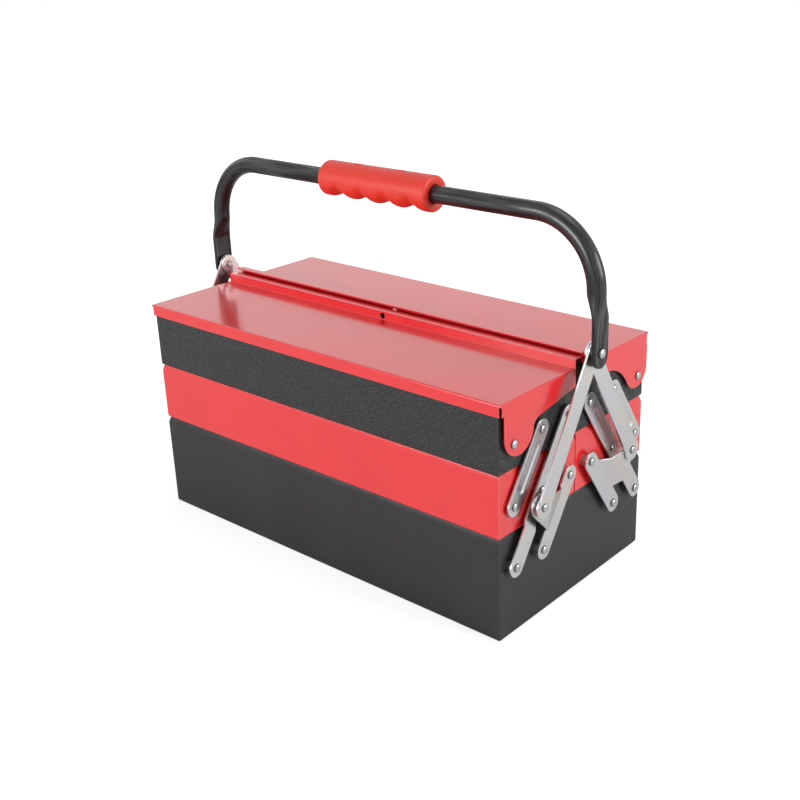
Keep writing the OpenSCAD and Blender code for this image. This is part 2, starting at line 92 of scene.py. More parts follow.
class EnamelSettings(bpy.types.PropertyGroup):
    """The enamels and the edges of the base, trays and lids"""
    red: bpy.props.FloatVectorProperty(
        name="Red enamel", description="Colour of the lids and the mid trays",
        subtype="COLOR", size=3, min=0, max=1, default=(0.78, 0.016, 0.021))
    satin: bpy.props.FloatVectorProperty(
        name="Black enamel", description="Colour of the base",
        subtype="COLOR", size=3, min=0, max=1, default=(0.014, 0.0125, 0.0145))
    wrinkle: bpy.props.FloatVectorProperty(
        name="Wrinkle enamel", description="Colour of the top trays",
        subtype="COLOR", size=3, min=0, max=1, default=(0.019, 0.0185, 0.020))
    peel_size: bpy.props.FloatProperty(
        name="Orange peel", description="Width of the waves in the gloss enamel",
        unit="LENGTH", min=0.001, max=0.02, default=0.0045)
    wrinkle_size: bpy.props.FloatProperty(
        name="Wrinkle size", description="Width of one wrinkle in the coarse enamel",
        unit="LENGTH", min=0.0008, max=0.01, default=0.0012)
    edge_round: bpy.props.FloatProperty(
        name="Edge rounding", description="Width of the rounding on the sheet's edges",
        unit="LENGTH", min=0.0001, max=0.0004, default=0.0003)
    lid_round: bpy.props.FloatProperty(
        name="Lid edge rounding",
        description="Width of the rounding on the lids, small enough for their corner notches",
        unit="LENGTH", min=0.0001, max=0.00023, default=0.0002)


class HardwareSettings(bpy.types.PropertyGroup):
    """The arms, links and rivets"""
    zinc: bpy.props.FloatVectorProperty(
        name="Zinc plate", description="Colour of the plated arms and links",
        subtype="COLOR", size=3, min=0, max=1, default=(0.66, 0.655, 0.66))
    rivet: bpy.props.FloatVectorProperty(
        name="Rivets", description="Colour of the plated rivets",
        subtype="COLOR", size=3, min=0, max=1, default=(0.52, 0.52, 0.52))
    edge_round: bpy.props.FloatProperty(
        name="Edge rounding", description="Width of the rounding on the strips' edges",
        unit="LENGTH", min=0.0001, max=0.0004, default=0.0003)
    head_radius: bpy.props.FloatProperty(
        name="Head radius", description="Radius of a pivot rivet's head",
        unit="LENGTH", min=0.003, max=0.0035, default=0.0035)
    head_height: bpy.props.FloatProperty(
        name="Head height", description="Height of a pivot rivet's head",
        unit="LENGTH", min=0.001, max=0.0018, default=0.0018)
    head_rim: bpy.props.FloatProperty(
        name="Head rim", description="Height of the upright rim below the dome",
        unit="LENGTH", min=0.0001, max=0.001, default=0.0005)
    shank_radius: bpy.props.FloatProperty(
        name="Shank radius", description="Radius of a pivot rivet's shank",
        unit="LENGTH", min=0.001, max=0.0025, default=0.0025)
    shoulder_radius: bpy.props.FloatProperty(
        name="Shoulder radius", description="Radius of the shoulder behind a link",
        unit="LENGTH", min=0.003, max=0.005, default=0.005)
    washer_radius: bpy.props.FloatProperty(
        name="Washer radius", description="Radius of the washers under the handle links",
        unit="LENGTH", min=0.003, max=0.006, default=0.006)
    facets: bpy.props.IntProperty(
        name="Facets", description="Facets round a rivet", min=12, max=64, default=32)


class HandleSettings(bpy.types.PropertyGroup):
    """The handle's tube and its grip"""
    black: bpy.props.FloatVectorProperty(
        name="Handle black", description="Colour of the handle's tube",
        subtype="COLOR", size=3, min=0, max=1, default=(0.008, 0.0078, 0.0085))
    grip: bpy.props.FloatVectorProperty(
        name="Grip", description="Colour of the plastic grip",
        subtype="COLOR", size=3, min=0, max=1, default=(0.74, 0.034, 0.017))
    leg_x: bpy.props.FloatProperty(
        name="Half span", description="Distance of a leg's middle line from the box's middle",
        unit="LENGTH", min=0.15, max=0.3, default=0.2144)
    bar_z: bpy.props.FloatProperty(
        name="Bar height", description="Height of the bar's middle line",
        unit="LENGTH", min=0.25, max=0.4, default=0.316)
    tube_radius: bpy.props.FloatProperty(
        name="Tube radius", description="Outer radius of the bent tube",
        unit="LENGTH", min=0.005, max=0.0075, default=0.0075)
    bend_radius: bpy.props.FloatProperty(
        name="Bend radius", description="Radius of the bends along the tube's middle line",
        unit="LENGTH", min=0.03, max=0.08, default=0.055)
    flat_top: bpy.props.FloatProperty(
        name="Flat's top", description="Height at which the flattened end is fully flat",
        unit="LENGTH", min=0.22, max=0.25, default=0.239)
    round_from: bpy.props.FloatProperty(
        name="Round from", description="Height from which the tube is round",
        unit="LENGTH", min=0.24, max=0.28, default=0.262)
    flat_width: bpy.props.FloatProperty(
        name="Flat's width", description="Width of the flattened ends",
        unit="LENGTH", min=0.015, max=0.0205, default=0.0205)
    flat_drop: bpy.props.FloatProperty(
        name="Flat's drop", description="How far the flattened ends' round lies below the pivot",
        unit="LENGTH", min=0, max=0.002, default=0.002)
    flat_thickness: bpy.props.FloatProperty(
        name="Flat's thickness", description="Thickness of the flattened ends",
        unit="LENGTH", min=0.002, max=0.0036, default=0.0036)
    flat_shift: bpy.props.FloatProperty(
        name="Flat's shift", description="How far the flattened ends lie outside the legs",
        unit="LENGTH", min=0, max=0.004, default=0.004)
    grip_radius: bpy.props.FloatProperty(
        name="Grip radius", description="Outer radius of the grip",
        unit="LENGTH", min=0.01, max=0.0152, default=0.0152)
    grip_length: bpy.props.FloatProperty(
        name="Grip length", description="Length of the grip",
        unit="LENGTH", min=0.08, max=0.121, default=0.121)
    grip_shift: bpy.props.FloatProperty(
        name="Grip shift", description="Distance of the grip from the bar's middle",
        unit="LENGTH", min=-0.01, max=0.01, default=-0.0025)
    grip_end_radius: bpy.props.FloatProperty(
        name="Grip end radius", description="Rounding of the grip's ends",
        unit="LENGTH", min=0.001, max=0.005, default=0.0018)
    hollow_depth: bpy.props.FloatProperty(
        name="Hollow depth", description="Depth of the finger hollows",
        unit="LENGTH", min=0.001, max=0.0062, default=0.0058)


class StudioSettings(bpy.types.PropertyGroup):
    """The floor and the lights"""
    floor: bpy.props.FloatVectorProperty(
        name="Floor", description="Colour of the studio floor",
        subtype="COLOR", size=3, min=0, max=1, default=(0.86, 0.86, 0.86))
    room: bpy.props.FloatProperty(
        name="Room light", description="Strength of the light from all round",
        min=0, max=2, default=0.25)
    key: bpy.props.FloatProperty(
        name="Key light", description="Power of the large light at the front",
        unit="POWER", min=0, max=500, default=44)
    top: bpy.props.FloatProperty(
        name="Top light", description="Power of the light from above",
        unit="POWER", min=0, max=500, default=10)
    side: bpy.props.FloatProperty(
        name="Side light", description="Power of the light at the right",
        unit="POWER", min=0, max=500, default=32)


# ---------- Laying out node trees ----------


def put(tree, kind, inputs=None, **settings):
    """A node with its settings made, and its inputs set or linked, by name or by number."""
    node = tree.nodes.new(kind)
    for key, value in settings.items():
        setattr(node, key, value)
    for key, value in (inputs or {}).items():
        socket = node.inputs[key]
        if isinstance(value, bpy.types.NodeSocket):
            tree.links.new(value, socket)
        else:
            socket.default_value = value
    return node


def sums(tree, operation, *values, clamp=False):
    """The result of a math node."""
    return put(tree, "ShaderNodeMath", dict(enumerate(values)),
               operation=operation, use_clamp=clamp).outputs[0]


def blended(tree, factor, a, b):
    """Two colours mixed."""
    return put(tree, "ShaderNodeMix", {0: factor, 6: a, 7: b}, data_type="RGBA").outputs[2]


def between(tree, value, low, high, out_low=0.0, out_high=1.0, smooth=False):
    """A value brought from one range into another."""
    kind = "SMOOTHSTEP" if smooth else "LINEAR"
    return put(tree, "ShaderNodeMapRange", {0: value, 1: low, 2: high, 3: out_low, 4: out_high},
               interpolation_type=kind).outputs[0]


def new_group(name, kind, inputs, outputs):
    """A node group: its inputs by name with a default or a kind, and its outputs by name."""
    tree = bpy.data.node_groups.new(name, kind)
    for label, default in inputs.items():
        socket_type = {float: "Float", int: "Int"}.get(type(default), default)
        socket = tree.interface.new_socket(name=label, in_out="INPUT",
                                           socket_type="NodeSocket" + socket_type)
        if socket_type != default:
            socket.default_value = default
    for label, socket_type in outputs.items():
        tree.interface.new_socket(name=label, in_out="OUTPUT",
                                  socket_type="NodeSocket" + socket_type)
    return tree, put(tree, "NodeGroupInput").outputs, put(tree, "NodeGroupOutput").inputs


def drive(tree, into, **values):
    """Links values to the inputs of those names."""
    for label, value in values.items():
        tree.links.new(value, into[label.replace("_", " ")])


def object_place(tree):
    """Where a point is on its object."""
    return put(tree, "ShaderNodeTexCoord").outputs["Object"]


def noise(tree, place, scale, detail=2.0, roughness=0.5):
    """A soft random value from 0 to 1."""
    return put(tree, "ShaderNodeTexNoise", {"Vector": place, "Scale": scale, "Detail": detail,
                                            "Roughness": roughness}).outputs[0]


# ---------- Surface effects that several finishes share ----------


def orange_peel_group():
    """Soft waves of sprayed enamel, and the faint cloudiness of its gloss."""
    tree, given, out = new_group("Orange peel", "ShaderNodeTree", {"Wave Size": 0.0045},
                                 {"Height": "Float", "Cloud": "Float"})
    place = object_place(tree)
    waves = noise(tree, place, sums(tree, "DIVIDE", 1.0, given["Wave Size"]), 2.0, 0.55)
    cloud = noise(tree, place, 16.0, 4.0, 0.6)
    drive(tree, out, Height=waves, Cloud=between(tree, cloud, 0.35, 0.7))
    return tree


def wrinkle_group():
    """Coarse wrinkle coat: rounded pebbles with narrow valleys between them."""
    tree, given, out = new_group("Wrinkle coat", "ShaderNodeTree",
                                 {"Wrinkle Size": 0.0012, "Unevenness": 0.35},
                                 {"Height": "Float", "Crest": "Float"})
    place = object_place(tree)
    scale = sums(tree, "DIVIDE", 1.0, given["Wrinkle Size"])
    stir = put(tree, "ShaderNodeTexNoise",
               {"Vector": place, "Scale": scale, "Detail": 1.0}).outputs["Color"]
    shift = put(tree, "ShaderNodeVectorMath",
                {0: stir, 1: (0.5, 0.5, 0.5)}, operation="SUBTRACT").outputs[0]
    shift = put(tree, "ShaderNodeVectorMath", {
        0: shift, "Scale": sums(tree, "MULTIPLY", given["Wrinkle Size"], given["Unevenness"])},
        operation="SCALE").outputs[0]
    stirred = put(tree, "ShaderNodeVectorMath", {0: place, 1: shift}, operation="ADD").outputs[0]
    pebbles = put(tree, "ShaderNodeTexVoronoi", {
        "Vector": stirred, "Scale": scale, "Smoothness": 0.35, "Randomness": 1.0},
        feature="SMOOTH_F1").outputs["Distance"]
    crest = between(tree, pebbles, 0.62, 0.12, smooth=True)
    lumps = noise(tree, place, sums(tree, "MULTIPLY", scale, 0.35))
    height = sums(tree, "ADD", crest, sums(tree, "MULTIPLY", lumps, 0.5))
    drive(tree, out, Height=height, Crest=crest)
    return tree


def worn_edge_group():
    """Where the coat is thin along rounded edges, broken up a little."""
    tree, given, out = new_group("Worn edge", "ShaderNodeTree", {"Break Up": 0.5},
                                 {"Mask": "Float"})
    place = object_place(tree)
    edge = put(tree, "ShaderNodeAttribute", attribute_name="edge").outputs["Fac"]
    patches = noise(tree, place, 60.0, 3.0)
    low = sums(tree, "SUBTRACT", 0.75, sums(tree, "MULTIPLY", given["Break Up"], 0.45))
    kept = sums(tree, "SUBTRACT", 1.0, sums(tree, "MULTIPLY", given["Break Up"],
                                            between(tree, patches, 0.3, low)))
    drive(tree, out, Mask=sums(tree, "MULTIPLY", edge, kept, clamp=True))
    return tree


def dust_group():
    """A trace of dust and handling, heavier on faces that look up."""
    tree, given, out = new_group("Dust and handling", "ShaderNodeTree", {"Amount": 0.3},
                                 {"Mask": "Float"})
    place = object_place(tree)
    up = put(tree, "ShaderNodeSeparateXYZ", {
        0: put(tree, "ShaderNodeNewGeometry").outputs["True Normal"]}).outputs["Z"]
    fine = noise(tree, place, 220.0, 5.0, 0.7)
    wide = noise(tree, place, 9.0, 3.0)
    specks = sums(tree, "MULTIPLY", between(tree, fine, 0.5, 0.8), between(tree, wide, 0.3, 0.7))
    lying = between(tree, up, -0.2, 1.0, 0.25, 1.0)
    drive(tree, out, Mask=sums(tree, "MULTIPLY", sums(tree, "MULTIPLY", specks, lying),
                               given["Amount"], clamp=True))
    return tree


def rolled_grain_group():
    """Fine rolling lines of plated strip, with clouds of passivation tint."""
    tree, given, out = new_group("Rolled grain", "ShaderNodeTree", {"Line Size": 0.0006},
                                 {"Height": "Float", "Tint": "Float", "Cloud": "Float"})
    place = object_place(tree)
    # The lines run upwards, and lie askew to the noise's own grid
    askew, stretch = math.radians(34), 0.06
    drawn = put(tree, "ShaderNodeMapping", {
        "Vector": place, "Rotation": (askew, 0, 0), "Scale": (1, 1, stretch)}).outputs[0]
    lines = noise(tree, drawn, sums(tree, "DIVIDE", 1.0, given["Line Size"]))
    tint = put(tree, "ShaderNodeTexNoise",
               {"Vector": place, "Scale": 42.0, "Detail": 2.0, "Distortion": 0.8}).outputs[0]
    cloud = noise(tree, place, 95.0, 4.0, 0.6)
    drive(tree, out, Height=lines, Tint=between(tree, tint, 0.35, 0.65),
          Cloud=between(tree, cloud, 0.3, 0.7))
    return tree


def effect(tree, name, maker, **values):
    """One use of a shared effect in a finish; the effect's group is made once."""
    group = bpy.data.node_groups.get(name) or maker()
    node = put(tree, "ShaderNodeGroup", node_tree=group)
    for label, value in values.items():
        node.inputs[label.replace("_", " ")].default_value = value
    return node.outputs


# ---------- Finishes ----------

DUST_ON_RED = (0.62, 0.58, 0.56, 1)
DUST_ON_BLACK = (0.34, 0.33, 0.33, 1)
DUST_ON_TUBE = (0.3, 0.3, 0.3, 1)
DUST_ON_GRIP = (0.7, 0.45, 0.4, 1)


def start_finish(name, **sockets):
    """A new material with plain values set, its tree and its Principled node's inputs."""
    material = bpy.data.materials.new(name)
    material.use_nodes = True
    tree = material.node_tree
    shader = tree.nodes["Principled BSDF"]
    for label, value in sockets.items():
        shader.inputs[label.replace("_", " ")].default_value = value
    return material, tree, shader.inputs


def dented(tree, height, distance):
    """A normal from a height that runs from 0 to 1, over a distance."""
    return put(tree, "ShaderNodeBump", {"Distance": distance, "Height": height}).outputs[0]


def rgba(colour, factor=1.0):
    """A colour made darker or lighter, as a socket takes it."""
    return tuple(min(1.0, c * factor) for c in colour) + (1.0,)


def gloss_enamel(name, colour, peel_size):
    """Glossy sprayed enamel over sheet steel."""
    material, tree, into = start_finish(name, Coat_Weight=0.7, Coat_Roughness=0.14)
    peel = effect(tree, "Orange peel", orange_peel_group, Wave_Size=peel_size)
    dust = effect(tree, "Dust and handling", dust_group, Amount=0.03)["Mask"]
    worn = effect(tree, "Worn edge", worn_edge_group, Break_Up=0.4)["Mask"]
    shade = blended(tree, peel["Cloud"], rgba(colour, 0.96), rgba(colour, 1.03))
    shade = blended(tree, sums(tree, "MULTIPLY", worn, 0.35), shade,
                    rgba([0.5 * c + 0.5 * max(colour) for c in colour]))
    shade = blended(tree, dust, shade, DUST_ON_RED)
    rough = sums(tree, "ADD", between(tree, peel["Cloud"], 0, 1, 0.21, 0.27),
                 sums(tree, "MULTIPLY", dust, 0.9), clamp=True)
    drive(tree, into, Base_Color=shade, Roughness=rough,
          Normal=dented(tree, peel["Height"], 0.00003))
    return material


def satin_enamel(name, colour, peel_size):
    """Black enamel with a soft sheen."""
    material, tree, into = start_finish(name)
    peel = effect(tree, "Orange peel", orange_peel_group, Wave_Size=peel_size)
    dust = effect(tree, "Dust and handling", dust_group, Amount=0.12)["Mask"]
    worn = effect(tree, "Worn edge", worn_edge_group, Break_Up=0.5)["Mask"]
    shade = blended(tree, peel["Cloud"], rgba(colour, 0.9), rgba(colour, 1.12))
    shade = blended(tree, sums(tree, "MULTIPLY", worn, 0.5), shade, rgba(colour, 4.0))
    shade = blended(tree, dust, shade, DUST_ON_BLACK)
    rough = sums(tree, "ADD", between(tree, peel["Cloud"], 0, 1, 0.36, 0.46),
                 sums(tree, "MULTIPLY", dust, 0.6), clamp=True)
    drive(tree, into, Base_Color=shade, Roughness=rough,
          Normal=dented(tree, peel["Height"], 0.00004))
    return material


def wrinkle_enamel(name, colour, wrinkle_size):
    """Coarse black wrinkle coat: glossy crests, and dull valleys darkened with painted shade."""
    material, tree, into = start_finish(name, Coat_Roughness=0.3, Specular_IOR_Level=0.3)
    coat = effect(tree, "Wrinkle coat", wrinkle_group, Wrinkle_Size=wrinkle_size)
    worn = effect(tree, "Worn edge", worn_edge_group, Break_Up=0.8)["Mask"]
    # Painted shade: the valleys between the crests are darker in colour
    shade = blended(tree, coat["Crest"], rgba(colour, 0.65), rgba(colour, 1.2))
    shade = blended(tree, sums(tree, "MULTIPLY", worn, 0.4), shade, rgba(colour, 3.5))
    drive(tree, into, Base_Color=shade,
          Coat_Weight=between(tree, coat["Crest"], 0.1, 0.9, 0.2, 0.8),
          Roughness=between(tree, coat["Crest"], 0, 1, 0.62, 0.34),
          Normal=dented(tree, coat["Height"], 0.00016))
    return material


def zinc_plate(name, colour):
    """Dull zinc plate with a faint yellow and blue passivation."""
    material, tree, into = start_finish(name, Metallic=1.0)
    grain = effect(tree, "Rolled grain", rolled_grain_group, Line_Size=0.0006)
    worn = effect(tree, "Worn edge", worn_edge_group, Break_Up=0.3)["Mask"]
    warm = tuple(c * k for c, k in zip(colour, (1.03, 1.0, 0.93))) + (1.0,)
    cool = tuple(c * k for c, k in zip(colour, (0.97, 1.0, 1.06))) + (1.0,)
    shade = blended(tree, grain["Tint"], cool, warm)
    shade = blended(tree, sums(tree, "MULTIPLY", grain["Cloud"], 0.5), shade, rgba(colour, 0.86))
    shade = blended(tree, sums(tree, "MULTIPLY", worn, 0.3), shade, rgba(colour, 1.08))
    rough = sums(tree, "SUBTRACT", between(tree, grain["Cloud"], 0, 1, 0.27, 0.36),
                 sums(tree, "MULTIPLY", worn, 0.15), clamp=True)
    drive(tree, into, Base_Color=shade, Roughness=rough,
          Normal=dented(tree, grain["Height"], 0.000004))
    return material


def rivet_plate(name, colour):
    """Plated rivets with tumbling marks, and painted shade that darkens the foot of a head."""
    material, tree, into = start_finish(name, Metallic=1.0)
    grain = effect(tree, "Rolled grain", rolled_grain_group)
    foot = put(tree, "ShaderNodeAttribute", attribute_name="foot").outputs["Fac"]
    shade = blended(tree, grain["Cloud"], rgba(colour, 0.85), rgba(colour, 1.12))
    # Painted shade: the foot of each head is darkened, where a contact shadow would fall
    shade = blended(tree, between(tree, foot, 0.45, 0.85, 0.0, 0.88, smooth=True), shade,
                    rgba(colour, 0.12))
    drive(tree, into, Base_Color=shade, Roughness=between(tree, grain["Cloud"], 0, 1, 0.2, 0.36),
          Normal=dented(tree, grain["Cloud"], 0.00005))
    return material


def tube_enamel(name, colour):
    """Thick black coat on drawn tube: long soft streak lines of gloss, lightened in colour as
    painted highlights, and a fine grain.
    """
    material, tree, into = start_finish(name, Coat_Roughness=0.2, Specular_IOR_Level=0.3)
    along = put(tree, "ShaderNodeAttribute", attribute_name="along").outputs["Fac"]
    about = put(tree, "ShaderNodeAttribute", attribute_name="round").outputs["Vector"]
    lengthways = put(tree, "ShaderNodeCombineXYZ",
                     {2: sums(tree, "MULTIPLY", along, 9.0)}).outputs[0]
    drawn = put(tree, "ShaderNodeVectorMath", {0: about, 1: lengthways},
                operation="ADD").outputs[0]
    streaks_and_sheen = between(tree, noise(tree, drawn, 2.6, 5.0, 0.55), 0.36, 0.66, smooth=True)
    grain = effect(tree, "Orange peel", orange_peel_group, Wave_Size=0.0011)
    dust = effect(tree, "Dust and handling", dust_group, Amount=0.05)["Mask"]
    # Painted highlight: the colour is lighter along each streak line and darker between them
    shade = blended(tree, streaks_and_sheen, rgba(colour, 0.5), rgba(colour, 1.8))
    shade = blended(tree, dust, shade, DUST_ON_TUBE)
    height = sums(tree, "ADD", grain["Height"], sums(tree, "MULTIPLY", streaks_and_sheen, 1.2))
    drive(tree, into, Base_Color=shade, Coat_Weight=between(tree, streaks_and_sheen, 0, 1, 0.0, 0.7),
          Roughness=between(tree, streaks_and_sheen, 0, 1, 0.44, 0.3),
          Normal=dented(tree, height, 0.00009))
    return material


def moulded_plastic(name, colour):
    """Soft red-orange plastic with a fine moulded texture."""
    material, tree, into = start_finish(name, Subsurface_Weight=0.06, Subsurface_Scale=0.004)
    into["Subsurface Radius"].default_value = (1.0, 0.25, 0.12)
    peel = effect(tree, "Orange peel", orange_peel_group, Wave_Size=0.0011)
    dust = effect(tree, "Dust and handling", dust_group, Amount=0.14)["Mask"]
    shade = blended(tree, peel["Cloud"], rgba(colour, 0.95), rgba(colour, 1.04))
    shade = blended(tree, dust, shade, DUST_ON_GRIP)
    drive(tree, into, Base_Color=shade, Roughness=between(tree, peel["Cloud"], 0, 1, 0.36, 0.48),
          Normal=dented(tree, peel["Height"], 0.00006))
    return material


# ---------- Finishing meshes ----------


def hold(obj, body, slot, *replaced):
    """A finished piece rides with its body and stands for its CAD nodes, which are hidden; the slot
    is not used.
    """
    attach(obj, body)
    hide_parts(*replaced)


def place_mesh(name, mesh):
    """A new object at the origin with that mesh."""
    obj = bpy.data.objects.new(name, mesh)
    bpy.context.scene.collection.objects.link(obj)
    return obj


def settle(obj):
    """Carries out the object's modifiers and keeps the plain mesh."""
    bpy.context.view_layer.update()
    graph = bpy.context.evaluated_depsgraph_get()
    mesh = bpy.data.meshes.new_from_object(obj.evaluated_get(graph))
    source = obj.data
    obj.modifiers.clear()
    obj.data = mesh
    mesh.name = obj.name
    bpy.data.meshes.remove(source)


def rounded_copy(node, name, width, material):
    """A CAD node's sheet, merged, with its edges rounded and the roundings marked as edge."""
    sheet = NODES[node].data.copy()
    mesh = bmesh.new()
    mesh.from_mesh(sheet)
    bmesh.ops.remove_doubles(mesh, verts=mesh.verts, dist=MERGE)
    bmesh.ops.dissolve_limit(mesh, angle_limit=FLAT, verts=mesh.verts, edges=mesh.edges)
    for face in mesh.faces:
        face.smooth = True
        face.material_index = 0
    mesh.to_mesh(sheet)
    mesh.free()
    for attribute in [a for a in sheet.attributes if a.name == "custom_normal"]:
        sheet.attributes.remove(attribute)
    # The second slot only marks the roundings, until they are an attribute
    sheet.materials.clear()
    sheet.materials.append(material)
    sheet.materials.append(material)
    obj = place_mesh(name, sheet)
    bevel = obj.modifiers.new("Rounding", "BEVEL")
    bevel.width = width
    bevel.segments = 2
    bevel.limit_method = "ANGLE"
    bevel.angle_limit = FOLD
    bevel.use_clamp_overlap = False
    bevel.miter_outer = "MITER_ARC"
    bevel.material = 1
    even = obj.modifiers.new("Flat faces", "WEIGHTED_NORMAL")
    even.weight = 100
    even.keep_sharp = True
    settle(obj)
    edge = obj.data.attributes.new("edge", "FLOAT", "FACE")
    edge.data.foreach_set("value", [float(p.material_index) for p in obj.data.polygons])
    for polygon in obj.data.polygons:
        polygon.material_index = 0
    obj.data.materials.pop(index=1)
    return obj


def finish_nodes(nodes, width, material, slot):
    """Each node's rounded copy, riding on the node's own body."""
    for node in nodes:
        obj = rounded_copy(node, node + "_sheet", width, material)
        hold(obj, BODY_OF[node], slot, node)


class TOOLBOX_OT_base(bpy.types.Operator):
    """Finishes the base in satin black enamel"""
    bl_idname = "toolbox.base"
    bl_label = "Base"

    def execute(self, context):
        enamel = context.scene.toolbox_enamel
        coat = satin_enamel("Black enamel", enamel.satin, enamel.peel_size)
        finish_nodes(["base_box"], enamel.edge_round, coat, "base_enamel")
        return {"FINISHED"}


class TOOLBOX_OT_mid_trays(bpy.types.Operator):
    """Finishes both mid trays in gloss red enamel"""
    bl_idname = "toolbox.mid_trays"
    bl_label = "Mid trays"

    def execute(self, context):
        enamel = context.scene.toolbox_enamel
        coat = gloss_enamel("Red enamel", enamel.red, enamel.peel_size)
        finish_nodes([f"{half}_mid_tray" for half in HALVES], enamel.edge_round, coat,
                     "red_enamel")
        return {"FINISHED"}


class TOOLBOX_OT_top_trays(bpy.types.Operator):
    """Finishes both top trays in coarse black wrinkle enamel"""
    bl_idname = "toolbox.top_trays"
    bl_label = "Top trays"

    def execute(self, context):
        enamel = context.scene.toolbox_enamel
        coat = wrinkle_enamel("Wrinkle enamel", enamel.wrinkle, enamel.wrinkle_size)
        finish_nodes([f"{half}_top_tray" for half in HALVES], enamel.edge_round, coat,
                     "wrinkle_enamel")
        return {"FINISHED"}


class TOOLBOX_OT_lids(bpy.types.Operator):
    """Finishes both lids in gloss red enamel"""
    bl_idname = "toolbox.lids"
    bl_label = "Lids"

    def execute(self, context):
        enamel = context.scene.toolbox_enamel
        coat = gloss_enamel("Lid enamel", enamel.red, enamel.peel_size)
        finish_nodes([f"{half}_lid" for half in HALVES], enamel.lid_round, coat, "red_enamel")
        return {"FINISHED"}


class TOOLBOX_OT_links(bpy.types.Operator):
    """Finishes the arms, cranks and links in zinc plate"""
    bl_idname = "toolbox.links"
    bl_label = "Arms and links"

    def execute(self, context):
        hardware = context.scene.toolbox_hardware
        zinc = zinc_plate("Zinc plate", hardware.zinc)
        kinds = ("long_arm", "crank", "short_link", "handle_link")
        nodes = [f"{half}_{kind}_{end}" for half in HALVES for kind in kinds for end in ENDS]
        finish_nodes(nodes, hardware.edge_round, zinc, "zinc")
        return {"FINISHED"}


# ---------- Rivets ----------

# A rivet in one half: its pivot, and along it, in mm from the box's middle, where it starts, where
# its shoulder begins and ends and where its head sits; headed and clinched say which ends it has
Rivet = namedtuple("Rivet", "half pivot start shoulder_from shoulder_to head_at headed clinched")


